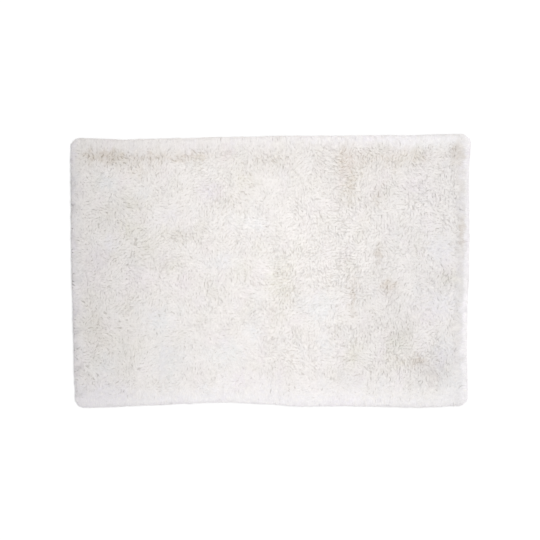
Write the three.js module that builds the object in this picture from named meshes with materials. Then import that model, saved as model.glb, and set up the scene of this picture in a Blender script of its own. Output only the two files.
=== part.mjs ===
// A long-pile rug lying flat on the floor. It is one soft solid: the backing and the pile that stands on it, out to
// the tips that fan over its edge. Millimetres, +Z up, +X along the longer side, origin on the floor under the middle.
import * as THREE from "three";

// Driving dimensions
const cutLength = 1800; // the backing as it was cut
const cutWidth = 1200;
const pileSpread = 29; // how far the tips fan out past the cut edge, on average
const pileHeight = 30; // of the standing pile, away from the edges
const cornerRadius = 42; // of the tips' outline
const tightestRadius = 20; // of a corner that is set in from the outline

// Mesh steps
const cornerSteps = 3; // across each corner's rounding
const lengthSteps = 38; // between the corners
const widthSteps = 26;

// The side from the floor up: how far each level stands in from the outline, and how high it is.
const sideLevels = [
  { level: "floor", inset: 15, height: 0 },
  { level: "hanging tips", inset: 3, height: 4.5 },
  { level: "widest", inset: 0, height: 11 },
  { level: "shoulder", inset: 4, height: 19 },
  { level: "brow", inset: 16, height: 26 },
  { level: "crown", inset: 40, height: 30 },
];

// Each side bows: how far the tips reach past its straight line, and at what place along the side.
const bowOfLeft = [
  { along: -560, reach: -13 },
  { along: -380, reach: -7 },
  { along: -190, reach: -3 },
  { along: 0, reach: 3 },
  { along: 190, reach: 6 },
  { along: 560, reach: 7 },
];
const bowOfRight = [
  { along: -560, reach: -6 },
  { along: -370, reach: -10 },
  { along: -190, reach: -8 },
  { along: 0, reach: 1 },
  { along: 460, reach: 0 },
  { along: 590, reach: 11 },
];
const bowOfFar = [
  { along: -850, reach: -7 },
  { along: -680, reach: -14 },
  { along: -460, reach: -8 },
  { along: -200, reach: -2 },
  { along: 100, reach: 4 },
  { along: 550, reach: 6 },
  { along: 880, reach: 12 },
];
const bowOfNear = [
  { along: -850, reach: 11 },
  { along: -570, reach: 1 },
  { along: -400, reach: -8 },
  { along: -240, reach: -13 },
  { along: 0, reach: -4 },
  { along: 110, reach: 6 },
  { along: 330, reach: 4 },
  { along: 720, reach: 11 },
  { along: 890, reach: 4 },
];

// Where the pile is trodden down or stands up: the place's middle, its half sizes and the rise there.
const moundsAndHollows = [
  { place: "middle", x: 60, y: 40, halfLength: 520, halfWidth: 330, rise: 2.5 },
  { place: "strip along the far side", x: -560, y: 530, halfLength: 300, halfWidth: 34, rise: -4 },
  { place: "far right corner", x: 865, y: 545, halfLength: 40, halfWidth: 45, rise: -3 },
  { place: "strip along the right side", x: 880, y: 230, halfLength: 26, halfWidth: 120, rise: -3 },
  { place: "near right hollow", x: 670, y: -400, halfLength: 170, halfWidth: 95, rise: -4.5 },
  { place: "swirl", x: 276, y: 141, halfLength: 70, halfWidth: 65, rise: -2.5 },
  { place: "parted tufts left of the middle", x: -270, y: 340, halfLength: 80, halfWidth: 60, rise: -3 },
  { place: "parted tufts right of the middle", x: 205, y: 330, halfLength: 45, halfWidth: 40, rise: -2.5 },
  { place: "parting left of the middle", x: -110, y: 165, halfLength: 110, halfWidth: 30, rise: -2.5 },
  { place: "left mound", x: -640, y: -120, halfLength: 190, halfWidth: 260, rise: 2 },
  { place: "near mound", x: -180, y: -420, halfLength: 260, halfWidth: 110, rise: 1.5 },
  { place: "far right mound", x: 560, y: 400, halfLength: 200, halfWidth: 120, rise: 2 },
];

// Waves that leave the rest of the pile uneven
const waves = [
  { length: 310, heading: 0.4, rise: 0.8 },
  { length: 215, heading: 1.9, rise: 0.7 },
  { length: 150, heading: 2.7, rise: 0.5 },
];

// A table's value at a place, passing smoothly from row to row.
function reachAt(rows, along) {
  const after = rows.findIndex((row) => row.along >= along);
  if (after === 0) return rows[0].reach;
  if (after < 0) return rows[rows.length - 1].reach;
  const from = rows[after - 1];
  const to = rows[after];
  const share = THREE.MathUtils.smoothstep(along, from.along, to.along);
  return THREE.MathUtils.lerp(from.reach, to.reach, share);
}

// Moves a point of the straight-sided rug to the bowed one.
function bowed(x, y) {
  const acrossLength = x / (cutLength + 2 * pileSpread) + 0.5;
  const acrossWidth = y / (cutWidth + 2 * pileSpread) + 0.5;
  const shiftX = THREE.MathUtils.lerp(-reachAt(bowOfLeft, y), reachAt(bowOfRight, y), acrossLength);
  const shiftY = THREE.MathUtils.lerp(-reachAt(bowOfNear, x), reachAt(bowOfFar, x), acrossWidth);
  return new THREE.Vector2(x + shiftX, y + shiftY);
}

// How much higher than its level the pile stands at a place.
function riseAt(x, y) {
  let rise = 0;
  for (const spot of moundsAndHollows) {
    const away = Math.hypot((x - spot.x) / spot.halfLength, (y - spot.y) / spot.halfWidth);
    rise += spot.rise * Math.exp(-away * away);
  }
  for (const wave of waves) {
    const along = x * Math.cos(wave.heading) + y * Math.sin(wave.heading);
    rise += wave.rise * Math.sin((2 * Math.PI * along) / wave.length);
  }
  return rise;
}

// A grid line's distance from the middle: the corners' steps at both ends, and even steps between them.
function gridPlace(step, middleSteps, half, radius) {
  const straight = half - radius;
  if (step < cornerSteps) return -half + (radius * step) / cornerSteps;
  if (step > cornerSteps + middleSteps) return straight + (radius * (step - cornerSteps - middleSteps)) / cornerSteps;
  return -straight + (2 * straight * (step - cornerSteps)) / middleSteps;
}

// A grid point of one level, with the square corners drawn in to arcs.
function levelPoint(column, row, { inset, height }) {
  const radius = Math.max(cornerRadius - inset, tightestRadius);
  const halfLength = cutLength / 2 + pileSpread - inset;
  const halfWidth = cutWidth / 2 + pileSpread - inset;
  let x = gridPlace(column, lengthSteps, halfLength, radius);
  let y = gridPlace(row, widthSteps, halfWidth, radius);
  const intoCornerX = Math.abs(x) - (halfLength - radius);
  const intoCornerY = Math.abs(y) - (halfWidth - radius);
  if (intoCornerX > 0 && intoCornerY > 0) {
    const drawIn = Math.max(intoCornerX, intoCornerY) / Math.hypot(intoCornerX, intoCornerY);
    x = Math.sign(x) * (halfLength - radius + intoCornerX * drawIn);
    y = Math.sign(y) * (halfWidth - radius + intoCornerY * drawIn);
  }
  const place = bowed(x, y);
  const z = height * (1 + riseAt(place.x, place.y) / pileHeight);
  return new THREE.Vector3(place.x, place.y, z);
}

const columns = lengthSteps + 2 * cornerSteps;
const rows = widthSteps + 2 * cornerSteps;

// The grid's border as [column, row] pairs, counterclockwise seen from above.
function borderSteps() {
  const border = [];
  for (let column = 0; column < columns; column++) border.push([column, 0]);
  for (let row = 0; row < rows; row++) border.push([columns, row]);
  for (let column = columns; column > 0; column--) border.push([column, rows]);
  for (let row = rows; row > 0; row--) border.push([0, row]);
  return border;
}

// Two triangles for the four-sided face a, b, c, d, seen counterclockwise from outside.
function pushQuad(triangles, a, b, c, d) {
  triangles.push(a, b, c, a, c, d);
}

// The flat underside, inside the border at the floor.
function pushUnderside(triangles, border) {
  const floor = border.map(([column, row]) => levelPoint(column, row, sideLevels[0]));
  const outline = floor.map((point) => new THREE.Vector2(point.x, point.y));
  for (const [a, b, c] of THREE.ShapeUtils.triangulateShape(outline, [])) {
    triangles.push(floor[a], floor[c], floor[b]);
  }
}

// The rolled-over side, from the floor up to the crown.
function pushSide(triangles, border) {
  for (let level = 1; level < sideLevels.length; level++) {
    const lower = border.map(([column, row]) => levelPoint(column, row, sideLevels[level - 1]));
    const upper = border.map(([column, row]) => levelPoint(column, row, sideLevels[level]));
    for (let step = 0; step < border.length; step++) {
      const next = (step + 1) % border.length;
      pushQuad(triangles, lower[step], lower[next], upper[next], upper[step]);
    }
  }
}

// The uneven top, inside the crown.
function pushTop(triangles) {
  const crown = sideLevels[sideLevels.length - 1];
  for (let column = 0; column < columns; column++) {
    for (let row = 0; row < rows; row++) {
      pushQuad(
        triangles,
        levelPoint(column, row, crown),
        levelPoint(column + 1, row, crown),
        levelPoint(column + 1, row + 1, crown),
        levelPoint(column, row + 1, crown),
      );
    }
  }
}

function pileGeometry() {
  const triangles = [];
  const border = borderSteps();
  pushUnderside(triangles, border);
  pushSide(triangles, border);
  pushTop(triangles);
  const geometry = new THREE.BufferGeometry().setFromPoints(triangles);
  geometry.computeBoundingBox();
  const middle = geometry.boundingBox.getCenter(new THREE.Vector3());
  geometry.translate(-middle.x, -middle.y, 0);
  geometry.computeVertexNormals();
  return geometry;
}

const ivoryPile = new THREE.MeshStandardMaterial({ color: 0xe9e5e0, roughness: 0.95, metalness: 0 });

const pileRug = new THREE.Mesh(pileGeometry(), ivoryPile);
pileRug.name = "pile_rug";

const rug = new THREE.Group();
rug.add(pileRug);

export default rug;
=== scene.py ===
import math

import bpy
import numpy as np
from mathutils.bvhtree import BVHTree
from mathutils.kdtree import KDTree
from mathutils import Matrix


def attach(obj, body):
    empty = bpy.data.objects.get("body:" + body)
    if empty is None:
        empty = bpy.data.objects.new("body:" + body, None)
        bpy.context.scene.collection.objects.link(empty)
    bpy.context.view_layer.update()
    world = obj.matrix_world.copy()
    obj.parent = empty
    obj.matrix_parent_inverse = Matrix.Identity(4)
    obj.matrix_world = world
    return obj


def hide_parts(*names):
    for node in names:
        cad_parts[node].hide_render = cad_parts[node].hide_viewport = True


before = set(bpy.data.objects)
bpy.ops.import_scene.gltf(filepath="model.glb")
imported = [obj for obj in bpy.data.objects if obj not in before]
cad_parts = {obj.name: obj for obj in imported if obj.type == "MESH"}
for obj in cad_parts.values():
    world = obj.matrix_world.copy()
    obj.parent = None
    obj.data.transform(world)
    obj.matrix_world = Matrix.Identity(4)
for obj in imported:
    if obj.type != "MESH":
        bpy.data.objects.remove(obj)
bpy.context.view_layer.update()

dice = np.random.default_rng(1907)
tiny = 1e-6                  # keeps divisions off nought

# the rug's build, in metres
rug = {
    "cutLength": 1.80,       # the backing as it was cut
    "cutWidth": 1.20,
    "spread": 0.029,         # how far the tips fan out past the cut edge
    "pileHeight": 0.030,     # of the standing pile
    "overhang": 0.040,       # from the crown, where the pile starts to roll over, out to the widest tips
    "widestAt": 0.011,       # how high the widest tips are
    "tuck": 0.015,           # how far the side draws in again below them
    "rollTurn": 165,         # how far round the side the pile rolls, in degrees
    "rollSteps": 160,
    "crownRadius": 0.005,    # of the crown's corners
    "rimShade": 0.15,        # how far shading follows the roll
    "hangsTo": 0.0004,       # how low the pile may hang
}
halfLength = rug["cutLength"] / 2 + rug["spread"]
halfWidth = rug["cutWidth"] / 2 + rug["spread"]
crownU = halfLength - rug["overhang"]
crownV = halfWidth - rug["overhang"]

# the rays that feel the CAD solid's sides and top
feel = {
    "outside": 1.2,          # where they start
    "above": 1.0,
    "clear": 0.06,           # how far they keep off the ends of the sides
    "sideSteps": (70, 50),   # along the length and the width
    "topSteps": (90, 60),
    "gridEnd": 1.001,        # taken off the steps, so that places stay between the felt ones
}
surface = BVHTree.FromObject(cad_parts["pile_rug"], bpy.context.evaluated_depsgraph_get())


def castAlong(start, direction):
    return surface.ray_cast(start, direction)[0]


def evenSteps(half, steps):
    return np.linspace(feel["clear"] - half, half - feel["clear"], steps)


# the four sides' bows, felt from outside at the height of the widest tips
def feelSides():
    outside, high = feel["outside"], rug["widestAt"]
    alongLength = evenSteps(halfLength, feel["sideSteps"][0])
    alongWidth = evenSteps(halfWidth, feel["sideSteps"][1])
    return {
        "alongLength": alongLength,
        "alongWidth": alongWidth,
        "far": [castAlong((x, outside, high), (0, -1, 0)).y for x in alongLength],
        "near": [castAlong((x, -outside, high), (0, 1, 0)).y for x in alongLength],
        "left": [castAlong((-outside, y, high), (1, 0, 0)).x for y in alongWidth],
        "right": [castAlong((outside, y, high), (-1, 0, 0)).x for y in alongWidth],
    }


# how high the pile stands, felt from above
def feelTop():
    xs = evenSteps(halfLength, feel["topSteps"][0])
    ys = evenSteps(halfWidth, feel["topSteps"][1])
    heights = [[castAlong((x, y, feel["above"]), (0, 0, -1)).z for x in xs] for y in ys]
    return xs, ys, np.array(heights)


print("feeling the rug's sides and top")
sides = feelSides()
topXs, topYs, topHeights = feelTop()


def topHeight(x, y):
    column = np.clip((x - topXs[0]) / (topXs[1] - topXs[0]), 0, len(topXs) - feel["gridEnd"])
    row = np.clip((y - topYs[0]) / (topYs[1] - topYs[0]), 0, len(topYs) - feel["gridEnd"])
    i, j = column.astype(int), row.astype(int)
    a, b = column - i, row - j
    low = topHeights[j, i] * (1 - a) + topHeights[j, i + 1] * a
    high = topHeights[j + 1, i] * (1 - a) + topHeights[j + 1, i + 1] * a
    return low * (1 - b) + high * b


# the roll over the side: an upper and a lower quarter of an ellipse, as a table by length along it
def rollTable():
    turn = np.radians(np.linspace(0, rug["rollTurn"], rug["rollSteps"]))
    upper = turn <= math.pi / 2
    widest, height = rug["widestAt"], rug["pileHeight"]
    out = rug["overhang"] - np.where(upper, rug["overhang"], rug["tuck"]) * (1 - np.sin(turn))
    up = widest + np.where(upper, height - widest, widest) * np.cos(turn)
    length = np.concatenate([[0], np.cumsum(np.hypot(np.diff(out), np.diff(up)))])
    slopeOut, slopeUp = np.gradient(out, length), np.gradient(up, length)
    return {"length": length, "out": out, "up": up, "normalOut": -slopeUp, "normalUp": slopeOut}


roll = rollTable()


def rollAt(over, kind):
    return np.interp(over, roll["length"], roll[kind])


# how far a place of the unrolled pile is past the crown, and the way outwards there
def pastCrown(u, v):
    radius = rug["crownRadius"]
    overU = np.abs(u) - (crownU - radius)
    overV = np.abs(v) - (crownV - radius)
    cornerU, cornerV = np.maximum(overU, 0), np.maximum(overV, 0)
    away = np.hypot(cornerU, cornerV)
    past = away + np.minimum(np.maximum(overU, overV), 0) - radius
    inside = away < tiny
    sideways = overU > overV
    outU = np.where(inside, sideways * 1.0, cornerU / np.maximum(away, tiny)) * np.sign(u)
    outV = np.where(inside, 1.0 - sideways, cornerV / np.maximum(away, tiny)) * np.sign(v)
    return past, outU, outV


# moves places of the straight-sided rug to the bowed one
def bowed(x, y):
    left = np.interp(y, sides["alongWidth"], sides["left"])
    right = np.interp(y, sides["alongWidth"], sides["right"])
    near = np.interp(x, sides["alongLength"], sides["near"])
    far = np.interp(x, sides["alongLength"], sides["far"])
    return left + (right - left) * (x / halfLength + 1) / 2, near + (far - near) * (y / halfWidth + 1) / 2


# lays points of the unrolled pile on the rug; depth is how far they are under the tips
def drape(u, v, depth):
    past, outU, outV = pastCrown(u, v)
    over = np.maximum(past, 0)
    out = rollAt(over, "out") - depth * rollAt(over, "normalOut")
    up = rollAt(over, "up") - depth * rollAt(over, "normalUp")
    shift = np.where(past > 0, out - over, 0)
    x, y = bowed(u + outU * shift, v + outV * shift)
    lift = topHeight(x, y) / rug["pileHeight"]
    z = np.where(up > 0, up * lift, up)
    return np.stack([x, y, np.maximum(z, rug["hangsTo"])], axis=-1)


# which way the skin of the pile faces
def skinNormal(u, v):
    past, outU, outV = pastCrown(u, v)
    over = np.maximum(past, 0)
    out, up = rollAt(over, "normalOut"), rollAt(over, "normalUp")
    shade = rug["rimShade"]
    return np.stack([outU * out * shade, outV * out * shade, up * shade + 1 - shade], axis=-1)


def smoothStep(low, high, value):
    share = np.clip((value - low) / (high - low), 0, 1)
    return share * share * (3 - 2 * share)


# turns headings towards another by a share
def turnTowards(heading, other, share):
    apart = (other - heading + math.pi) % (2 * math.pi) - math.pi
    return heading + apart * share


# a soft-edged patch of the rug: its middle, its half sizes and what it brings there
def patch(place, at, size, **amounts):
    return {"place": place, "at": at, "size": size, **amounts}


# how the pile lies
lie = {
    "waveSizes": (0.16, 0.42),    # shortest and longest waves of the brushed directions
    "waves": 14,
    "patchSize": 0.55,            # of chance patches, as a share of those waves
    "tuftGap": 0.062,             # tufts that lie their own way
    "tuftWander": 0.45,           # how far they stand off an even grid, in gaps
    "tuftsBeyond": 0.03,          # how far past the last strands they go on
    "tuftTurn": 0.60,             # in radians, as the other turns and the curls are
    "clumpGap": 0.0125,           # strands whose tips run together
    "clumpWander": 0.42,
    "clumpsBeyond": 0.01,
    "clumpTurn": 0.34,
    "strandTurn": 0.2,
    "gather": 0.55,               # how far tips are drawn to their clump's tip
    "combFrom": -0.026,           # past the crown, where the pile starts to be combed outwards
    "combTo": 0.006,
    "combWander": 0.014,          # how far that border wanders
    "combed": {"left": 0.60, "right": 0.80, "far": 0.85, "near": 0.90},      # how much, by side
    "combedStrands": 0.8,         # how much of that strands take up by themselves
    "straightened": 0.85,         # how much curl the comb takes out
    "smoothed": {"left": 0.15, "right": 0.75, "far": 0.45, "near": 0.85},
    "smoothRange": (-0.5, 0.9),   # below 0 is rougher
    "sleekInTints": 0.45,         # how far cool and pink patches are sleeker, and tan and straw ones rougher
    "swirl": {"at": (0.276, 0.141), "inner": 0.045, "outer": 0.080},
    "sleekPlaces": [              # where the pile lies sleeker, or rougher where the amount is below 0
        patch("near left", (-0.3, -0.46), (0.46, 0.2), amount=0.5),
        patch("near side, right of middle", (0.32, -0.57), (0.5, 0.09), amount=0.55),
        patch("near side, right", (0.66, -0.59), (0.3, 0.07), amount=0.45),
        patch("far left", (-0.66, 0.36), (0.26, 0.16), amount=0.28),
        patch("left, near", (-0.64, -0.3), (0.14, 0.14), amount=0.35),
        patch("far, middle", (-0.02, 0.38), (0.15, 0.11), amount=0.5),
        patch("left of middle", (-0.2, -0.08), (0.14, 0.12), amount=0.3),
        patch("right of middle", (0.3, 0.08), (0.17, 0.19), amount=-0.7),
        patch("near middle", (0.09, -0.39), (0.08, 0.08), amount=-1.0),
        patch("far tufts", (-0.24, 0.35), (0.08, 0.1), amount=-0.7),
        patch("tufts left of middle", (-0.2, 0.14), (0.09, 0.06), amount=-0.5),
        patch("right, far", (0.72, 0.3), (0.11, 0.2), amount=-0.3),
        patch("far side, right", (0.45, 0.53), (0.25, 0.05), amount=-0.15),
        patch("near right", (0.72, -0.38), (0.1, 0.09), amount=-0.8),
        patch("left rim, near", (-0.88, -0.44), (0.06, 0.16), amount=-0.45),
    ],
}
strand = {
    "gap": 0.0040,
    "wander": 0.5,                # how far strands stand off an even grid, in gaps
    "length": 0.027,
    "lengthSpread": 0.18,
    "strandSpread": 0.12,         # of strands within a clump
    "width": 0.0043,
    "widthSpread": 0.18,
    "flatness": 0.45,             # how thick a strand is for its width
    "rollOver": 0.5,              # how far strands lean over on a side, in radians
    "paleFew": 3.0,               # 1 is an even mix of strands; more leaves only a few pale ones
    "rootDepth": 0.0040,
    "tipDepth": 0.0006,
    "bendAt": 0.52,
    "topAt": 0.54,                # the part of it that lies at its place on top of the pile
    "bendDepth": 0.30,            # of the root's depth
    "curl": 0.35,                 # of clumps
    "strandCurl": 0.12,           # and of strands in them
    "clumpRise": 0.0010,          # how unevenly clumps stand
    "tipRise": 0.0005,            # and strands in them
    "bendRise": 0.5,              # how much of that is there at the bend
    # how much of each is lost where the pile is smooth
    "evened": {"gather": 0.85, "clumpRise": 0.8, "tipRise": 0.7, "rootDepth": 0.45},
    "edgeReach": 0.058,           # how far past the crown the edge's tips reach
    "edgeLonger": 0.3,            # by what share combed strands are longer
    "rim": (0.012, 0.030),        # past the crown, where the rim begins and is in full
    "rimRagged": 0.0012,          # how far clumps stick out there
    "softness": 0.72,             # how far shading follows the skin of the pile
    "softFrom": (-0.2, 0.4),      # from sides that face a little down to sides that face up
    "mapMargin": 0.08,            # round each strand's tile of the bake map
}
waveHeading = dice.uniform(0, 2 * math.pi, (2, lie["waves"]))
waveLength = np.exp(dice.uniform(*np.log(lie["waveSizes"]), (2, lie["waves"])))
waveStart = dice.uniform(0, 2 * math.pi, (2, lie["waves"]))


# the way the pile is brushed at a place
def brushedHeading(u, v):
    parts = []
    for heading, length, start in zip(waveHeading, waveLength, waveStart):
        along = u[:, None] * np.cos(heading) + v[:, None] * np.sin(heading)
        parts.append(np.sin(2 * math.pi * along / length + start).sum(axis=1))
    return np.arctan2(parts[0], parts[1])


# chance patches over the rug, about -1 to 1
def patchiness(u, v, turned=0, size=lie["patchSize"]):
    total = 0
    for heading, length, start in zip(waveHeading[turned], waveLength[turned], waveStart[turned]):
        along = u * np.cos(heading) - v * np.sin(heading)
        total = total + np.sin(2 * math.pi * along / (size * length) + start)
    return total / math.sqrt(lie["waves"])


# a grid of places over the unrolled pile, each moved a little by chance
def scattered(gap, reach, wander):
    spanU, spanV = crownU + reach, crownV + reach
    columns, rows = round(2 * spanU / gap), round(2 * spanV / gap)
    u, v = np.meshgrid(np.arange(columns), np.arange(rows))
    u = (u + 0.5 + dice.uniform(-wander, wander, u.shape)) / columns * 2 * spanU - spanU
    v = (v + 0.5 + dice.uniform(-wander, wander, v.shape)) / rows * 2 * spanV - spanV
    return u.ravel(), v.ravel()


# for each place, the nearest of some others
def nearestOf(u, v, othersU, othersV):
    tree = KDTree(len(othersU))
    for index, place in enumerate(zip(othersU, othersV)):
        tree.insert((*place, 0), index)
    tree.balance()
    return np.array([tree.find((*place, 0))[1] for place in zip(u, v)])


# each side's value of a kind, for places whose way outwards is given
def bySide(values, outU, outV):
    alongSide = np.where(outU < 0, values["left"], values["right"]) * outU**2
    return alongSide + np.where(outV < 0, values["near"], values["far"]) * outV**2


# how far the pile at a place is combed over the edge and smoothed there, and the heading outwards
def combing(u, v):
    past, outU, outV = pastCrown(u, v)
    past = past + lie["combWander"] * patchiness(u, v)
    atEdge = smoothStep(lie["combFrom"], lie["combTo"], past)
    combed, smoothed = (bySide(lie[kind], outU, outV) * atEdge for kind in ("combed", "smoothed"))
    return combed, smoothed, np.arctan2(outV, outU)


# headings turned round the swirl
def swirled(u, v, heading):
    swirl = lie["swirl"]
    awayU, awayV = u - swirl["at"][0], v - swirl["at"][1]
    share = 1 - smoothStep(swirl["inner"], swirl["outer"], np.hypot(awayU, awayV))
    return turnTowards(heading, np.arctan2(awayV, awayU) + math.pi / 2, share)


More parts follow.
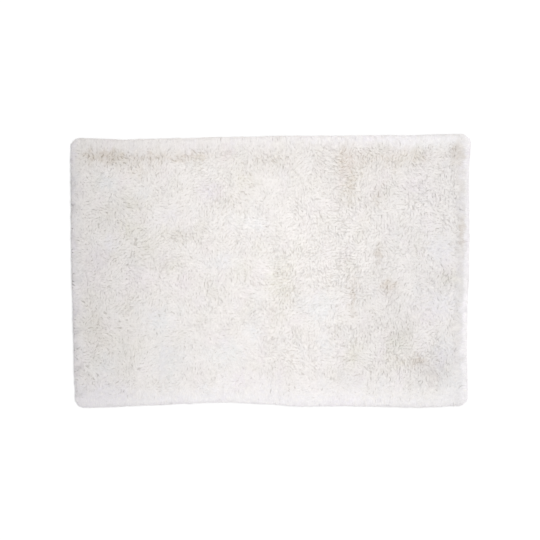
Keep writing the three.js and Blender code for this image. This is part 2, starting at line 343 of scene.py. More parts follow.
# patches of the fleece's colour: tan, straw, cool and pink tints of its own, and a shade, how much lighter
# or darker it is, which is partly its own tone and partly painted light and shade
tintsAndPaintedLight = {
    "patches": [
        # tan and straw
        patch("far left strip", (-0.745, 0.545), (0.1, 0.032), tan=0.9, shade=-0.2),
        patch("far left strip, end", (-0.845, 0.54), (0.05, 0.028), tan=0.45, straw=0.2),
        patch("far strip", (-0.56, 0.54), (0.1, 0.028), tan=0.6, shade=0.05),
        patch("far strip, right part", (-0.38, 0.535), (0.1, 0.022), tan=0.75),
        patch("below the far strip", (-0.62, 0.48), (0.12, 0.035), tan=0.35),
        patch("far side, left of middle", (-0.2, 0.545), (0.035, 0.035), tan=0.4),
        patch("far side, middle", (0.02, 0.51), (0.09, 0.05), tan=0.3, straw=0.2),
        patch("far side, right", (0.35, 0.5), (0.045, 0.08), tan=0.8, shade=0.4),
        patch("far side, right, inner", (0.38, 0.4), (0.03, 0.05), tan=0.45),
        patch("far side, right band", (0.53, 0.52), (0.14, 0.045), tan=0.5, shade=0.4),
        patch("far side, far right", (0.7, 0.53), (0.07, 0.045), tan=0.3, straw=0.15),
        patch("far right corner", (0.868, 0.535), (0.032, 0.05), tan=0.8, shade=-0.7),
        patch("right border spot", (0.894, 0.17), (0.013, 0.07), tan=1.2, shade=0.1),
        patch("right border, further", (0.89, 0.375), (0.02, 0.05), tan=0.15),
        patch("right spot", (0.552, -0.068), (0.04, 0.03), tan=1.0, shade=-0.1),
        patch("right upper spot", (0.502, 0.082), (0.026, 0.036), tan=0.8),
        patch("right streak", (0.385, -0.12), (0.018, 0.09), tan=0.75),
        patch("right far spots", (0.49, 0.334), (0.03, 0.04), tan=0.4),
        patch("middle far spot", (0.38, 0.33), (0.03, 0.035), tan=0.4, straw=0.2),
        patch("near right, brown", (0.7, -0.412), (0.035, 0.03), tan=0.9, shade=-0.2),
        patch("near right hollow", (0.61, -0.31), (0.075, 0.07), straw=0.7, shade=-0.4),
        patch("near right, lower", (0.6, -0.42), (0.06, 0.04), straw=0.4, tan=0.2),
        patch("right, straw", (0.826, -0.035), (0.05, 0.035), straw=0.6, shade=-0.3),
        patch("near right border, brown", (0.76, -0.49), (0.06, 0.06), straw=0.3, tan=0.25, shade=-0.3),
        patch("near, right of middle", (0.4, -0.38), (0.05, 0.07), straw=0.55, shade=-0.2),
        patch("straw patch by the middle", (0.055, -0.04), (0.065, 0.12), straw=0.8, shade=0.15),
        patch("straw patch, foot", (0.03, -0.2), (0.05, 0.06), straw=0.4),
        patch("straw, near middle", (0.04, -0.42), (0.07, 0.09), straw=0.15),
        patch("straw, left of middle", (-0.13, 0.0), (0.04, 0.05), straw=0.5),
        patch("grey straw", (-0.263, -0.092), (0.05, 0.055), straw=0.35, shade=-0.1),
        patch("far straw", (-0.12, 0.42), (0.07, 0.05), straw=0.5, tan=0.15),
        patch("far straw, inner", (-0.13, 0.335), (0.05, 0.03), straw=0.5),
        patch("left straw", (-0.467, 0.03), (0.06, 0.035), straw=0.6, shade=-0.35),
        patch("left, further", (-0.575, 0.12), (0.05, 0.05), straw=0.6, shade=-0.35),
        patch("left dark straw", (-0.655, 0.2), (0.06, 0.05), straw=0.75, shade=-0.25),
        patch("left far dark straw", (-0.64, 0.32), (0.05, 0.05), straw=0.6, shade=-0.2),
        patch("left brown", (-0.76, 0.27), (0.06, 0.06), straw=0.2, tan=0.05, shade=-0.1),
        patch("left brown, inner", (-0.42, 0.17), (0.08, 0.04), straw=0.3, tan=0.15, shade=-0.3),
        patch("near left brown", (-0.82, -0.26), (0.05, 0.08), straw=0.4, tan=0.2, shade=-0.3),
        patch("near left dark", (-0.68, -0.36), (0.06, 0.14), straw=0.35, shade=-0.35),
        # lighter and darker: partly the fleece's own tone and partly painted light and shade
        # partly painted light and partly the fleece's own tone: the middle lighter
        patch("middle", (0.1, 0.08), (0.4, 0.42), shade=0.25),
        patch("middle, near", (0.1, -0.4), (0.33, 0.25), pink=0.12),
        patch("far left, pale", (-0.7, 0.465), (0.14, 0.035), shade=0.4),
        patch("far left, dark edge", (-0.64, 0.58), (0.08, 0.03), shade=-0.3),
        patch("right side, far, dark", (0.72, 0.47), (0.16, 0.05), shade=-0.3),
        patch("far side, right of middle", (0.38, 0.45), (0.2, 0.12), tan=0.15, shade=-0.1),
        patch("near, right of middle, dark", (0.41, -0.49), (0.05, 0.06), shade=-0.3),
        patch("right of middle, near", (0.49, -0.24), (0.15, 0.28), shade=-0.45),
        patch("near left, middle", (-0.43, -0.42), (0.17, 0.2), cool=0.1, shade=-0.32),
        patch("near, right of middle, pale", (0.23, -0.24), (0.06, 0.22), shade=0.45),
        patch("middle, pale", (0.137, 0.18), (0.05, 0.16), shade=0.35),
        patch("right, far, pale", (0.7, 0.28), (0.08, 0.06), shade=0.5),
        patch("right side, far", (0.87, 0.37), (0.06, 0.15), shade=-0.4),
        patch("near right corner, cool", (0.86, -0.55), (0.09, 0.12), cool=0.7),
        # the borders and the sides, with cool and pink tints: painted shade on the left side, which faces
        # away from the light, and in a groove inside the right border; painted light along the right border
        # and parts of the far and near borders
        patch("left border", (-0.94, 0.0), (0.05, 2.0), cool=0.8, pink=0.7, shade=0.25),
        # painted shade: dark spots along the left rim, which faces away from the light
        patch("left rim tufts, painted shade", (-0.93, 0.41), (0.03, 0.05), shade=-1.0),
        patch("left rim tufts, painted shade", (-0.925, 0.306), (0.03, 0.022), shade=-1.1),
        patch("left rim tufts, painted shade", (-0.922, 0.156), (0.03, 0.02), shade=-1.3),
        patch("left rim tufts, painted shade", (-0.922, 0.074), (0.03, 0.018), shade=-1.0),
        patch("left rim tufts, painted shade", (-0.915, -0.024), (0.03, 0.026), shade=-1.2),
        patch("left rim tufts, painted shade", (-0.918, -0.184), (0.03, 0.022), shade=-1.1),
        patch("left rim tufts, painted shade", (-0.912, -0.273), (0.03, 0.026), shade=-1.3),
        patch("left rim tufts, painted shade", (-0.912, -0.361), (0.03, 0.018), shade=-1.1),
        patch("left rim tufts, painted shade", (-0.905, -0.454), (0.03, 0.024), shade=-1.3),
        patch("left rim tufts, painted shade", (-0.905, -0.56), (0.03, 0.035), shade=-0.9),
        # painted shade on the left side, which faces away from the light, darkest by its border
        patch("left border, far part", (-0.93, 0.38), (0.06, 0.22), shade=-0.6),
        patch("left side", (-0.95, 0.0), (0.45, 2.0), shade=-2.15),
        patch("far border", (-0.45, 0.6), (0.55, 0.045), cool=0.15, pink=0.2, shade=-0.2),
        # painted light along the right part of the far border, which faces the light
        patch("far border, right", (0.45, 0.612), (0.5, 0.03), cool=0.7, pink=0.5, shade=0.5),
        patch("far border, right end", (0.74, 0.605), (0.18, 0.04), cool=0.8, shade=0.7),
        patch("far side, all along", (0.0, 0.55), (1.4, 0.06), shade=-0.3),
        # painted light along the right border, which faces the light
        patch("right border", (0.925, 0.0), (0.03, 2.0), cool=1.3, pink=0.5, shade=0.8),
        patch("right border, palest", (0.925, -0.2), (0.035, 0.17), cool=0.2, shade=0.7),
        # painted shade in a thin groove inside the right border
        patch("inside the right border", (0.89, 0.0), (0.022, 0.7), shade=-1.3),
        patch("right side", (0.8, 0.0), (0.32, 0.8), cool=0.28, pink=0.1, shade=-0.55),
        patch("near right corner", (0.79, -0.43), (0.11, 0.09), cool=0.3, pink=0.3, shade=-0.75),
        # painted light along the near border
        patch("near border", (0.0, -0.63), (1.2, 0.065), cool=1.15, pink=0.55, shade=0.6),
        patch("near left corner", (-0.8, -0.57), (0.16, 0.075), cool=0.8, pink=0.6, shade=0.2),
        patch("near border, left part", (-0.6, -0.6), (0.3, 0.06), shade=-0.1),
        # cool
        patch("far left", (-0.765, 0.43), (0.05, 0.045), cool=1.0, shade=0.2),
        patch("far left, inner", (-0.59, 0.37), (0.035, 0.03), cool=0.6, shade=0.1),
        patch("left", (-0.746, 0.13), (0.05, 0.04), cool=0.8, shade=0.2),
        patch("left of middle", (-0.46, 0.265), (0.05, 0.04), cool=0.5, pink=0.5),
        patch("by the middle", (-0.235, 0.035), (0.06, 0.045), cool=0.8, pink=0.2, shade=0.2),
        patch("far middle", (-0.09, 0.22), (0.1, 0.05), cool=0.5, shade=0.7),
        patch("near left", (-0.52, -0.23), (0.07, 0.07), cool=0.9, shade=0.15),
        patch("near left, lower", (-0.49, -0.42), (0.07, 0.09), cool=0.9),
        patch("by the near left corner", (-0.783, -0.44), (0.07, 0.05), cool=0.7),
        patch("near", (-0.21, -0.4), (0.09, 0.06), cool=0.9),
        patch("near, slanting", (-0.08, -0.29), (0.04, 0.06), cool=0.7, shade=0.2),
        patch("right of middle", (0.236, -0.165), (0.08, 0.06), cool=1.1),
        patch("right of middle, lower", (0.25, -0.33), (0.035, 0.09), cool=0.5),
        patch("right", (0.797, 0.1), (0.06, 0.06), cool=0.9, pink=0.4),
        patch("right, nearer", (0.8, -0.15), (0.07, 0.06), cool=0.9, pink=0.4, shade=0.3),
        patch("near right", (0.83, -0.37), (0.04, 0.05), cool=0.7),
        # pink
        patch("left", (-0.81, 0.05), (0.06, 0.09), pink=0.8, cool=0.2),
        patch("left, inner", (-0.6, -0.03), (0.08, 0.06), pink=0.7, cool=0.1),
        patch("left of middle", (-0.4, -0.05), (0.07, 0.05), pink=0.7),
        patch("far", (-0.29, 0.37), (0.05, 0.05), pink=0.8, cool=0.3),
        patch("near", (-0.12, -0.52), (0.22, 0.045), pink=0.4, cool=0.3, shade=0.2),
        patch("near right", (0.42, -0.52), (0.22, 0.04), pink=0.15, cool=0.3),
        patch("right", (0.7, 0.4), (0.07, 0.1), pink=0.35),
        patch("right, nearer", (0.73, -0.22), (0.06, 0.06), pink=0.6),
    ],
    "fade": 1.2,                  # how steeply patches fade outwards
    "chance": {"tan": 0.05, "straw": 0.16, "cool": 0.16, "pink": 0.25, "shade": 0.05},
    "apart": (0.31, -0.17),       # how far each kind's chance patches are moved off the last one's
    "wander": 0.010,              # how far a patch's outline wanders
    "wanderSize": 0.20,           # in what share of the lie's waves
    "mottle": 0.35,               # how uneven a patch is
    "mottleSize": 0.12,
    "most": 1.2,                  # of a tint, at any place
}


# how much of a patch there is at places
def softSpot(u, v, spot):
    (x, y), (halfLong, halfWide) = spot["at"], spot["size"]
    return np.exp(-tintsAndPaintedLight["fade"] * (((u - x) / halfLong) ** 2 + ((v - y) / halfWide) ** 2))


def sleekness(u, v):
    return sum(softSpot(u, v, spot) * spot["amount"] for spot in lie["sleekPlaces"])


# how much of each tint, and of the shade that carries painted light and shade, there is at places on the rug
def tintsAndPaintedLightAt(u, v):
    awayU = u + tintsAndPaintedLight["wander"] * patchiness(u, v, 0, tintsAndPaintedLight["wanderSize"])
    awayV = v + tintsAndPaintedLight["wander"] * patchiness(u, v, 1, tintsAndPaintedLight["wanderSize"])
    mottle = 1 + tintsAndPaintedLight["mottle"] * patchiness(v, u, 0, tintsAndPaintedLight["mottleSize"])
    apartU, apartV = tintsAndPaintedLight["apart"]
    found = {}
    for order, (kind, chanceOf) in enumerate(tintsAndPaintedLight["chance"].items()):
        placed = sum(softSpot(awayU, awayV, spot) * spot[kind] for spot in tintsAndPaintedLight["patches"] if kind in spot)
        byChance = patchiness(awayU + apartU * order, awayV + apartV * order, order % 2) * chanceOf
        if kind == "shade":
            found[kind] = placed + byChance
        else:
            found[kind] = np.clip((placed + np.maximum(byChance, 0)) * mottle, 0, tintsAndPaintedLight["most"])
    return found


# how smooth the pile is: at the edges, and in its sleek patches
def smoothness(u, v, smoothed):
    tint = tintsAndPaintedLightAt(u, v)
    sleek = lie["sleekInTints"] * (tint["cool"] + tint["pink"] - tint["tan"] - tint["straw"])
    return np.clip(smoothed + sleek + sleekness(u, v), *lie["smoothRange"])


# clumps of strands, which lie nearly as their tuft does
def plantClumps():
    tuftU, tuftV = scattered(lie["tuftGap"], strand["edgeReach"] + lie["tuftsBeyond"], lie["tuftWander"])
    tuftHeading = brushedHeading(tuftU, tuftV) + dice.normal(0, lie["tuftTurn"], len(tuftU))
    u, v = scattered(lie["clumpGap"], strand["edgeReach"] + lie["clumpsBeyond"], lie["clumpWander"])
    count = len(u)
    heading = tuftHeading[nearestOf(u, v, tuftU, tuftV)] + dice.normal(0, lie["clumpTurn"], count)
    length = strand["length"] * np.exp(dice.normal(0, strand["lengthSpread"], count))
    curl = dice.normal(0, strand["curl"], count)
    rise = dice.normal(0, strand["clumpRise"], count)
    combed, _, outwards = combing(u, v)
    heading = turnTowards(swirled(u, v, heading), outwards, combed)
    curl = curl * (1 - lie["straightened"] * combed)
    return {"count": count, "u": u, "v": v, "heading": heading, "length": length, "curl": curl, "rise": rise}


# strands: their places on top of the pile, and their spines of root, bend and tip worked back from there
def plantStrands(clumps):
    u, v = scattered(strand["gap"], strand["edgeReach"], strand["wander"])
    planted = pastCrown(u, v)[0] < strand["edgeReach"]
    u, v = u[planted], v[planted]
    count = len(u)
    clump = nearestOf(u, v, clumps["u"], clumps["v"])
    combed, smoothed, outwards = combing(u, v)
    smooth = smoothness(u, v, smoothed)
    spread = np.exp(dice.normal(0, strand["strandSpread"], count))
    length = clumps["length"][clump] * spread * (1 + strand["edgeLonger"] * combed)
    heading = clumps["heading"][clump] + dice.normal(0, lie["strandTurn"], count)
    heading = turnTowards(heading, outwards, combed * lie["combedStrands"])
    curl = clumps["curl"][clump] + dice.normal(0, strand["strandCurl"], count)
    kept = {kind: 1 - share * smooth for kind, share in strand["evened"].items()}
    atRim = smoothStep(*strand["rim"], pastCrown(u, v)[0])
    ragged = np.abs(dice.normal(0, strand["rimRagged"], clumps["count"]))[clump] * atRim
    rise = clumps["rise"][clump] * kept["clumpRise"] - ragged
    tipRise = dice.normal(0, strand["tipRise"], count) * kept["tipRise"]
    rootDepth = strand["rootDepth"] * kept["rootDepth"]
    depths = [
        rootDepth,
        rootDepth * strand["bendDepth"] + rise + tipRise * strand["bendRise"],
        strand["tipDepth"] + rise + tipRise,
    ]
    spine = np.zeros((count, 3, 3))
    for station, share in enumerate((0, strand["bendAt"], 1)):
        way = heading + curl * share / 2
        away = length * (share - strand["topAt"])
        pull = lie["gather"] * kept["gather"] * share
        spine[:, station, 0] = u + (clumps["u"][clump] - u) * pull + away * np.cos(way)
        spine[:, station, 1] = v + (clumps["v"][clump] - v) * pull + away * np.sin(way)
        spine[:, station, 2] = depths[station]
    return u, v, spine


# small gaps where locks part: some by chance, and some in listed rows (heading in degrees)
gaps = {
    "count": 16000,               # tried; most are dropped
    "anywhere": 0.16,             # the share of them kept
    "inTints": 0.30,              # and in tan and straw patches
    "edgeFade": 3,                # how steeply they end at the combed edge
    "opening": 0.0021,
    "openingSpread": 0.4,
    "rowSpread": {"along": 0.3, "aside": 0.0014, "opening": 0.25},   # how uneven the rows are
    "rows": [
        {"x": -0.248, "y": 0.037, "heading": 45, "halfLength": 0.1, "count": 24, "opening": 0.0018},
        {"x": -0.272, "y": 0.347, "heading": 80, "halfLength": 0.03, "count": 9, "opening": 0.0042},
        {"x": 0.206, "y": 0.328, "heading": 20, "halfLength": 0.016, "count": 4, "opening": 0.0045},
        {"x": -0.117, "y": 0.169, "heading": 10, "halfLength": 0.036, "count": 9, "opening": 0.0036},
        {"x": -0.197, "y": 0.08, "heading": 40, "halfLength": 0.014, "count": 4, "opening": 0.004},
        {"x": 0.272, "y": 0.047, "heading": -20, "halfLength": 0.012, "count": 3, "opening": 0.004},
        {"x": -0.506, "y": -0.197, "heading": 30, "halfLength": 0.016, "count": 4, "opening": 0.004},
        {"x": -0.234, "y": 0.556, "heading": 88, "halfLength": 0.062, "count": 14, "opening": 0.0026},
        {"x": 0.323, "y": 0.485, "heading": 90, "halfLength": 0.077, "count": 17, "opening": 0.0024},
        {"x": -0.927, "y": -0.22, "heading": 91, "halfLength": 0.33, "count": 46, "opening": 0.003},
        {"x": -0.927, "y": 0.27, "heading": 91, "halfLength": 0.1, "count": 8, "opening": 0.0024},
        {"x": 0.0, "y": -0.503, "heading": 88, "halfLength": 0.058, "count": 13, "opening": 0.0024},
    ],
}


def gapPlaces():
    reach = strand["edgeReach"]
    u = dice.uniform(-crownU - reach, crownU + reach, gaps["count"])
    v = dice.uniform(-crownV - reach, crownV + reach, gaps["count"])
    tint = tintsAndPaintedLightAt(u, v)
    likely = gaps["anywhere"] * (1 + patchiness(u, v, 1)) + gaps["inTints"] * (tint["tan"] + tint["straw"])
    likely = likely * (1 - combing(u, v)[0]) ** gaps["edgeFade"] * (1 - sleekness(u, v))
    kept = likely > dice.uniform(0, 1, len(u))
    u, v = u[kept], v[kept]
    opening = gaps["opening"] * np.exp(dice.normal(0, gaps["openingSpread"], len(u)))
    spread = gaps["rowSpread"]
    for row in gaps["rows"]:
        count = row["count"]
        along = np.linspace(-1, 1, count) * row["halfLength"]
        along = along + dice.normal(0, spread["along"], count) * row["halfLength"] / count
        turn = math.radians(row["heading"])
        u = np.append(u, row["x"] + along * math.cos(turn) + dice.normal(0, spread["aside"], count))
        v = np.append(v, row["y"] + along * math.sin(turn) + dice.normal(0, spread["aside"], count))
        opening = np.append(opening, row["opening"] * np.exp(dice.normal(0, spread["opening"], count)))
    return np.stack([u, v], axis=1), opening


# moves each strand sideways out of the gap that is nearest to it
def openGaps(spine):
    places, opening = gapPlaces()
    root, bend, tip = (spine[:, station, :2] for station in range(3))
    near = nearestOf(*((bend + tip) / 2).T, *places.T)
    run = tip - root
    along = ((places[near] - root) * run).sum(axis=1) / ((run**2).sum(axis=1) + tiny**2)
    aside = root + run * np.clip(along, 0, 1)[:, None] - places[near]
    away = np.hypot(*aside.T) + tiny
    push = np.sqrt(away**2 + opening[near] ** 2) - away
    spine[:, :, :2] += (aside / away[:, None] * push[:, None])[:, None]
    return len(places)


print("pile: planting strands")
clumps = plantClumps()
topU, topV, spine = plantStrands(clumps)
print("pile:", len(topU), "strands in", clumps["count"], "clumps")
gapCount = openGaps(spine)
print("pile:", gapCount, "gaps between locks")
width = strand["width"] * np.exp(dice.normal(0, strand["widthSpread"], len(topU)))
rollOver = dice.normal(0, strand["rollOver"], len(topU))
chance = dice.uniform(0, 1, len(topU)) ** strand["paleFew"]

# a strand is a closed spindle: a root, a ring of corners at the bend, and a tip
ring = 3
perStrand = ring + 2
strandFaces, cornerPlaces = [], []      # the places are across a strand and along it
for corner in range(ring):
    here, beside = 1 + corner, 1 + (corner + 1) % ring
    strandFaces += [(0, beside, here), (here, beside, ring + 1)]
    cornerPlaces += [(0.5, 0), (1, 0.5), (0, 0.5), (0, 0.5), (1, 0.5), (0.5, 1)]
strandFaces, cornerPlaces = np.array(strandFaces), np.array(cornerPlaces)


def strandPoints(pick):
    root, bend, tip = (spine[pick, station] for station in range(3))
    alongU, alongV = (tip - root)[:, :2].T
    long = np.maximum(np.hypot(alongU, alongV), tiny)
    points = [root]
    for corner in range(ring):
        angle = rollOver[pick] + math.pi / 2 + corner * 2 * math.pi / ring
        aside = np.cos(angle) * width[pick] / 2
        raised = np.sin(angle) * width[pick] / 2 * strand["flatness"]
        points.append(bend + np.stack([-alongV / long * aside, alongU / long * aside, -raised], axis=1))
    return drape(*np.stack([*points, tip], axis=1).reshape(-1, 3).T)


def meshFromArrays(name, points, faces):
    mesh = bpy.data.meshes.new(name)
    mesh.vertices.add(len(points))
    mesh.vertices.foreach_set("co", points.astype(np.float32).ravel())
    mesh.loops.add(faces.size)
    mesh.loops.foreach_set("vertex_index", faces.astype(np.int32).ravel())
    mesh.polygons.add(len(faces))
    mesh.polygons.foreach_set("loop_start", np.arange(0, faces.size, 3, dtype=np.int32))
    mesh.update(calc_edges=True)
    mesh.shade_smooth()
    piece = bpy.data.objects.new(name, mesh)
    bpy.context.scene.collection.objects.link(piece)
    return piece


def setAttribute(piece, name, values):
    attribute = piece.data.attributes.new(name, "FLOAT", "POINT")
    attribute.data.foreach_set("value", values.astype(np.float32))


def setTintsAndPaintedLight(piece, u, v):
    for kind, amount in tintsAndPaintedLightAt(u, v).items():
        setAttribute(piece, kind, amount)


def setMap(piece, name, places):
    layer = piece.data.uv_layers.new(name=name, do_init=False)
    layer.uv.foreach_set("vector", places.astype(np.float32).ravel())


# normals brought to a length of 1
def unit(ways):
    return ways / np.maximum(np.linalg.norm(ways, axis=-1), tiny)[..., None]


# shading of a strand's upper sides that follows the pile's skin more than their own shape
def softenNormals(piece, skin):
    own = np.zeros(len(piece.data.vertices) * 3, np.float32)
    piece.data.vertices.foreach_get("normal", own)
    faceWay = np.zeros(len(piece.data.polygons) * 3, np.float32)
    piece.data.polygons.foreach_get("normal", faceWay)
    sideWay = unit(faceWay.reshape(len(skin), ring, 2, 3).sum(axis=2))
    facing = (sideWay * skin[:, None]).sum(axis=2)
    share = (strand["softness"] * smoothStep(*strand["softFrom"], facing))[:, :, None, None, None]
    corners = own.reshape(len(skin), perStrand, 3)[:, strandFaces].reshape(len(skin), ring, 2, 3, 3)
    soft = unit(corners * (1 - share) + skin[:, None, None, None] * share)
    piece.data.normals_split_custom_set(soft.reshape(-1, 3).tolist())


def plantPiece(name, pick):
    count = len(pick)
    starts = np.arange(count)[:, None, None] * perStrand
    piece = meshFromArrays(name, strandPoints(pick), (strandFaces[None] + starts).reshape(-1, 3))
    setMap(piece, "lock", np.tile(cornerPlaces, (count, 1)))
    tilesAcross = math.ceil(math.sqrt(count))
    tile = np.stack([np.arange(count) % tilesAcross, np.arange(count) // tilesAcross], axis=1)
    inTile = strand["mapMargin"] + (1 - 2 * strand["mapMargin"]) * cornerPlaces[None]
    setMap(piece, "OFBake", (tile[:, None] + inTile) / tilesAcross)
    setAttribute(piece, "chance", np.repeat(chance[pick], perStrand))
    setTintsAndPaintedLight(piece, np.repeat(topU[pick], perStrand), np.repeat(topV[pick], perStrand))
    setAttribute(piece, "along", np.tile([0, *[strand["bendAt"]] * ring, 1], count))
    softenNormals(piece, skinNormal(spine[pick, 1, 0], spine[pick, 1, 1]))
    return piece


# five pieces from left to right, to keep each one's triangles down
lockNames = ["locks_left", "locks_left_middle", "locks_middle", "locks_right_middle", "locks_right"]
picks = np.array_split(np.argsort(topU, kind="stable"), len(lockNames))
lockPieces = [plantPiece(name, np.sort(pick)) for name, pick in zip(lockNames, picks)]

# the mass of the pile, one closed form from the cloth up to a little under the tips, and the cloth below it;
# the strands are only the outer layer, which shows
under = {
    "columns": 150,
    "rows": 104,
    "depth": 0.0033,              # under the tips
    "unevenness": 0.0008,
    "reach": 0.90,                # of the roll over the side
    "tuck": 0.975,                # how far its foot draws in
}
cloth = {
    "columns": 36,
    "rows": 24,
    "corner": 0.036,              # of its rounded corners
    "cornerSteps": 6,
    "cornerWithin": 0.001,        # how near a corner a point counts as one
    "thickness": 0.0020,
    "offFloor": 0.0002,
}
clothTop = cloth["offFloor"] + cloth["thickness"]


def newGrid(name, size):
    bpy.ops.object.select_all(action="DESELECT")
    bpy.ops.mesh.primitive_grid_add(x_subdivisions=size["columns"], y_subdivisions=size["rows"], size=2)
    piece = bpy.context.active_object
    piece.name = name
    return piece


def pointsOf(piece):
    points = np.zeros(len(piece.data.vertices) * 3, np.float32)
    piece.data.vertices.foreach_get("co", points)
    return points.reshape(-1, 3)


def movePoints(piece, points):
    piece.data.vertices.foreach_set("co", points.astype(np.float32).ravel())


def makeUnderPile():
    piece = newGrid("under_pile", under)
    places = pointsOf(piece)
    reach = roll["length"][-1] * under["reach"]
    u, v = places[:, 0] * (crownU + reach), places[:, 1] * (crownV + reach)
    deep = under["depth"] + dice.normal(0, under["unevenness"], len(u))
    movePoints(piece, drape(u, v, deep))
    setTintsAndPaintedLight(piece, u, v)
    bpy.ops.object.mode_set(mode="EDIT")
    bpy.ops.mesh.select_mode(type="EDGE")
    bpy.ops.mesh.select_all(action="DESELECT")
    bpy.ops.mesh.select_non_manifold()
    bpy.ops.mesh.extrude_region_move(TRANSFORM_OT_translate={"value": (0, 0, 0)})
    bpy.ops.transform.resize(value=(under["tuck"], under["tuck"], 0), center_override=(0, 0, clothTop))
    bpy.ops.mesh.edge_face_add()
    bpy.ops.mesh.select_all(action="SELECT")
    bpy.ops.mesh.normals_make_consistent(inside=False)
    bpy.ops.object.mode_set(mode="OBJECT")
    piece.data.shade_smooth()
    return piece


def makeBacking():
    halfCutLength, halfCutWidth = rug["cutLength"] / 2, rug["cutWidth"] / 2
    piece = newGrid("backing", cloth)
    bpy.ops.object.mode_set(mode="EDIT")
    bpy.ops.transform.resize(value=(halfCutLength, halfCutWidth, 1))
    bpy.ops.mesh.select_all(action="DESELECT")
    bpy.ops.object.mode_set(mode="OBJECT")
    for vertex in piece.data.vertices:
        atEnd = abs(vertex.co.x) > halfCutLength - cloth["cornerWithin"]
        vertex.select = atEnd and abs(vertex.co.y) > halfCutWidth - cloth["cornerWithin"]
    bpy.ops.object.mode_set(mode="EDIT")
    bpy.ops.mesh.bevel(offset=cloth["corner"], segments=cloth["cornerSteps"], affect="VERTICES")
    bpy.ops.object.mode_set(mode="OBJECT")
    places = pointsOf(piece)
    x, y = bowed(places[:, 0], places[:, 1])
    movePoints(piece, np.stack([x, y, np.full(len(x), clothTop)], axis=1))
    thick = piece.modifiers.new("thickness", "SOLIDIFY")
    thick.thickness = cloth["thickness"]
    thick.offset = -1
    bpy.ops.object.modifier_apply(modifier="thickness")
    return piece


print("underfur and backing")
underPile = makeUnderPile()
backing = makeBacking()

print("materials")
finish = {
    "tip": (0.950, 0.918, 0.896),
    # the root's colour, darker than the tip's: partly the roots' creamier colour, partly painted shade deep
    # in the pile
    "root": (0.909, 0.873, 0.836),
    "rootReach": 0.55,                # how far up a strand the root's colour reaches
    # the underfur's colour, darker than the tips: partly its own duller colour, partly painted shade for the
    # gaps between locks, where it shows
    "under": (0.780, 0.744, 0.713),
    "tan": (0.880, 0.845, 0.800),     # the tints are laid over those colours
    "straw": (0.955, 0.958, 0.910),
    "cool": (0.955, 0.978, 1.0),
    "pink": (0.988, 0.965, 1.0),
    "deepTan": (0.91, 0.885, 0.85),   # laid over the underfur in tan patches
    "deepStraw": 0.5,                 # how much of it straw patches get
    # a shade is partly the fleece's own tone and partly painted light and shade
    "shadeStep": 0.085,               # how much lighter or darker a shade of 1 is
    # stronger in the underfur, so that gaps in the darker places get more painted shade
    "deepShadeStep": 0.13,            # and in the underfur
    "chanceStep": 0.10,               # from strand to strand
    "chanceLow": 0.96,                # of the darkest strands
    "hairStep": 0.05,                 # from hair to hair
    "hairDetail": 2,
    "hairs": {"Across": 9.0, "Along": 1.5},           # to a strand
    "underHairs": {"Across": 420.0, "Along": 420.0},  # to a metre
    "hairBump": {"Distance": 0.0006, "Strength": 0.4},
    "underBump": {"Distance": 0.0015, "Strength": 0.6},
    "roughness": 0.8,
    "specular": 0.25,
    "sheen": 0.15,
    "sheenRoughness": 0.5,
    "cloth": (0.70, 0.65, 0.56),
    "thread": (0.80, 0.76, 0.68),
    "threadGap": 0.0024,
    "threadBump": {"Distance": 0.0006, "Strength": 0.7},
}


# fills a node's inputs with numbers, colours or other nodes' outputs
def fill(tree, node, values):
    for name, value in values.items():
        if isinstance(value, (int, float)):
            node.inputs[name].default_value = value
        elif isinstance(value, tuple):
            node.inputs[name].default_value = (*value, 1)
        else:
            tree.links.new(value, node.inputs[name])
    return node.outputs


def placeNode(tree, kind, values):
    return fill(tree, tree.nodes.new(kind), values)


def placeGroup(tree, group, values):
    node = tree.nodes.new("ShaderNodeGroup")
    node.node_tree = group
    return fill(tree, node, values)


def attributeValue(tree, name):
    node = tree.nodes.new("ShaderNodeAttribute")
    node.attribute_name = name
    return node.outputs["Fac"]


def mathValue(tree, operation, *operands):
    node = tree.nodes.new("ShaderNodeMath")
    node.operation = operation
    return fill(tree, node, dict(enumerate(operands)))["Value"]


def mixedColour(tree, blend, factor, a, b):
    node = tree.nodes.new("ShaderNodeMix")
    node.data_type = "RGBA"
    node.blend_type = blend
    return fill(tree, node, {"Factor": factor, "A": a, "B": b})["Result"]


# a colour or a place times a number
def scaled(tree, vector, scale):
    node = tree.nodes.new("ShaderNodeVectorMath")
    node.operation = "SCALE"
    return fill(tree, node, {"Vector": vector, "Scale": scale})["Vector"]


def bumpNormal(tree, height, bump):
    return placeNode(tree, "ShaderNodeBump", {"Height": height, **bump})["Normal"]


def newGroup(name, inputs, outputs):
    group = bpy.data.node_groups.new(name, "ShaderNodeTree")
    for kind, sockets in (("INPUT", inputs), ("OUTPUT", outputs)):
        for label, socketType in sockets.items():
            group.interface.new_socket(name=label, in_out=kind, socket_type="NodeSocket" + socketType)
    return group, group.nodes.new("NodeGroupInput").outputs, group.nodes.new("NodeGroupOutput")


# colour tinted by the fleece's patches, and made lighter or darker by their shade: partly the fleece's own
# tone, partly painted light and shade
def makeTintAndPaintedLight():
    inputs = {"Colour": "Color", "Shade Step": "Float"}
    group, given, result = newGroup("tint and painted light", inputs, {"Colour": "Color"})
    colour = given["Colour"]
    for kind in ("tan", "straw", "cool", "pink"):
        colour = mixedColour(group, "MULTIPLY", attributeValue(group, kind), colour, finish[kind])
    level = mathValue(group, "MULTIPLY_ADD", attributeValue(group, "shade"), given["Shade Step"], 1.0)
    fill(group, result, {"Colour": scaled(group, colour, level)})
    return group


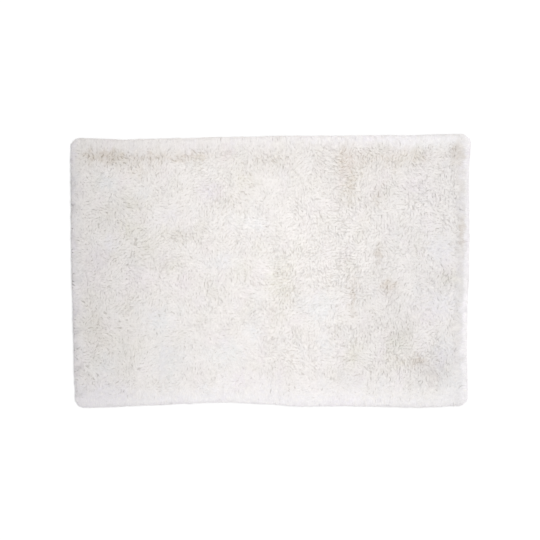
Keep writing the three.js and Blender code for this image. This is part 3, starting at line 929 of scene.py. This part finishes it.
# fine hairs along a strand, or over the underfur
def makeHairs():
    inputs = {"Place": "Vector", "Across": "Float", "Along": "Float"}
    group, given, result = newGroup("hairs", inputs, {"Height": "Float", "Level": "Float"})
    stretch = placeNode(group, "ShaderNodeCombineXYZ", {"X": given["Across"], "Y": given["Along"], "Z": 1})
    place = group.nodes.new("ShaderNodeVectorMath")
    place.operation = "MULTIPLY"
    place = fill(group, place, {0: given["Place"], 1: stretch["Vector"]})["Vector"]
    noise = {"Vector": place, "Scale": 1, "Detail": finish["hairDetail"]}
    height = placeNode(group, "ShaderNodeTexNoise", noise)["Fac"]
    level = mathValue(group, "MULTIPLY_ADD", height, 2 * finish["hairStep"], 1 - finish["hairStep"])
    fill(group, result, {"Height": height, "Level": level})
    return group


# threads that pass over and under each other
def makeWeave():
    inputs = {"Place": "Vector", "Threads": "Float"}
    group, given, result = newGroup("weave", inputs, {"Height": "Float"})
    place = scaled(group, given["Place"], given["Threads"])
    apart = placeNode(group, "ShaderNodeSeparateXYZ", {"Vector": place})
    over = placeNode(group, "ShaderNodeTexChecker", {"Vector": place, "Scale": 1})["Fac"]
    ridges = []
    for axis in ("X", "Y"):
        turned = mathValue(group, "MULTIPLY", apart[axis], math.pi)
        ridges.append(mathValue(group, "ABSOLUTE", mathValue(group, "SINE", turned)))
    height = placeNode(group, "ShaderNodeMix", {"Factor": over, "A": ridges[0], "B": ridges[1]})["Result"]
    fill(group, result, {"Height": height})
    return group


tintAndPaintedLight = makeTintAndPaintedLight()
hairs = makeHairs()
weave = makeWeave()


def newMaterial(name):
    material = bpy.data.materials.new(name)
    material.use_nodes = True
    shader = material.node_tree.nodes["Principled BSDF"]
    shader.inputs["Roughness"].default_value = finish["roughness"]
    shader.inputs["Specular IOR Level"].default_value = finish["specular"]
    shader.inputs["Sheen Weight"].default_value = finish["sheen"]
    shader.inputs["Sheen Roughness"].default_value = finish["sheenRoughness"]
    return material, material.node_tree, shader


def lockFinish():
    material, tree, shader = newMaterial("ivory locks")
    fromRoot = {"Value": attributeValue(tree, "along"), "From Max": finish["rootReach"]}
    reach = placeNode(tree, "ShaderNodeMapRange", fromRoot)["Result"]
    colour = mixedColour(tree, "MIX", reach, finish["root"], finish["tip"])
    tinted = placeGroup(tree, tintAndPaintedLight, {"Colour": colour, "Shade Step": finish["shadeStep"]})["Colour"]
    lockMap = tree.nodes.new("ShaderNodeUVMap")
    lockMap.uv_map = "lock"
    lines = placeGroup(tree, hairs, {"Place": lockMap.outputs["UV"], **finish["hairs"]})
    byChance = attributeValue(tree, "chance")
    level = mathValue(tree, "MULTIPLY_ADD", byChance, finish["chanceStep"], finish["chanceLow"])
    level = mathValue(tree, "MULTIPLY", lines["Level"], level)
    bump = bumpNormal(tree, lines["Height"], finish["hairBump"])
    fill(tree, shader, {"Base Color": scaled(tree, tinted, level), "Normal": bump})
    return material


def underFinish():
    material, tree, shader = newMaterial("underfur")
    straw = mathValue(tree, "MULTIPLY", attributeValue(tree, "straw"), finish["deepStraw"])
    warm = mathValue(tree, "ADD", attributeValue(tree, "tan"), straw)
    deep = mixedColour(tree, "MULTIPLY", warm, finish["under"], finish["deepTan"])
    tinted = placeGroup(tree, tintAndPaintedLight, {"Colour": deep, "Shade Step": finish["deepShadeStep"]})["Colour"]
    place = placeNode(tree, "ShaderNodeTexCoord", {})["Object"]
    lines = placeGroup(tree, hairs, {"Place": place, **finish["underHairs"]})
    bump = bumpNormal(tree, lines["Height"], finish["underBump"])
    fill(tree, shader, {"Base Color": scaled(tree, tinted, lines["Level"]), "Normal": bump})
    return material


def clothFinish():
    material, tree, shader = newMaterial("backing cloth")
    place = placeNode(tree, "ShaderNodeTexCoord", {})["Object"]
    height = placeGroup(tree, weave, {"Place": place, "Threads": 1 / finish["threadGap"]})["Height"]
    colour = mixedColour(tree, "MIX", height, finish["cloth"], finish["thread"])
    fill(tree, shader, {"Base Color": colour, "Normal": bumpNormal(tree, height, finish["threadBump"])})
    return material


ivory = lockFinish()
for piece in lockPieces:
    piece.data.materials.append(ivory)
underPile.data.materials.append(underFinish())
backing.data.materials.append(clothFinish())

for piece in [*lockPieces, underPile, backing]:
    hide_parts("pile_rug")
    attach(piece, "root")

print("camera and light")
view = {
    "lens": 85,
    "sensor": 36,
    "frameWidth": 2.53,           # of the view at the rug
    "centre": (-0.005, 0.0037),
    "clipEnd": 100,
}
light = {
    "sun": 1.505,
    "sunTilt": 20,                # its angles are in degrees
    "sunFrom": 10,
    "sunSoftness": 30,
    "sky": 0.569,
    "skySeen": 1.0,               # what the sky looks like
    "floorSize": 60,
    "floorDrop": 0.0005,          # how far it is below the rug
    "floor": 0.8,
    "floorGlow": 0.26,            # makes the lit floor white where it is seen
}


def makeCamera():
    camera = bpy.data.objects.new("camera", bpy.data.cameras.new("camera"))
    camera.data.lens = view["lens"]
    camera.data.sensor_width = view["sensor"]
    camera.data.clip_end = view["clipEnd"]
    away = view["frameWidth"] * view["lens"] / view["sensor"]
    camera.location = (*view["centre"], away + rug["widestAt"])
    bpy.context.scene.collection.objects.link(camera)
    bpy.context.scene.camera = camera


# 1 for rays that see the pale ground: the camera's own, and reflected and refracted ones
def seeingRays(tree):
    path = placeNode(tree, "ShaderNodeLightPath", {})
    seeing = mathValue(tree, "ADD", path["Is Camera Ray"], path["Is Glossy Ray"])
    seeing = mathValue(tree, "ADD", seeing, path["Is Transmission Ray"])
    seeing.node.use_clamp = True
    return seeing


def makeFloor():
    bpy.ops.object.select_all(action="DESELECT")
    bpy.ops.mesh.primitive_plane_add(size=light["floorSize"], location=(0, 0, -light["floorDrop"]))
    floor = bpy.context.active_object
    floor.name = "floor"
    paint = bpy.data.materials.new("pale floor")
    paint.use_nodes = True
    tree = paint.node_tree
    tree.nodes.clear()
    matt = placeNode(tree, "ShaderNodeBsdfDiffuse", {"Color": (light["floor"],) * 3})["BSDF"]
    seen = mathValue(tree, "MULTIPLY", seeingRays(tree), light["floorGlow"])
    glow = placeNode(tree, "ShaderNodeEmission", {"Strength": seen})["Emission"]
    both = placeNode(tree, "ShaderNodeAddShader", {0: matt, 1: glow})["Shader"]
    placeNode(tree, "ShaderNodeOutputMaterial", {"Surface": both})
    floor.data.materials.append(paint)
    return floor


def makeLight():
    sun = bpy.data.objects.new("window light", bpy.data.lights.new("window light", "SUN"))
    sun.data.energy = light["sun"]
    sun.data.angle = math.radians(light["sunSoftness"])
    sun.rotation_euler = (0, math.radians(light["sunTilt"]), math.radians(light["sunFrom"]))
    bpy.context.scene.collection.objects.link(sun)
    world = bpy.data.worlds.new("studio")
    bpy.context.scene.world = world
    world.use_nodes = True
    tree = world.node_tree
    levels = {"Value": seeingRays(tree), "To Min": light["sky"], "To Max": light["skySeen"]}
    strength = placeNode(tree, "ShaderNodeMapRange", levels)["Result"]
    fill(tree, tree.nodes["Background"], {"Color": (1, 1, 1), "Strength": strength})


makeCamera()
floor = makeFloor()
makeLight()
bpy.context.scene.view_settings.view_transform = "Standard"
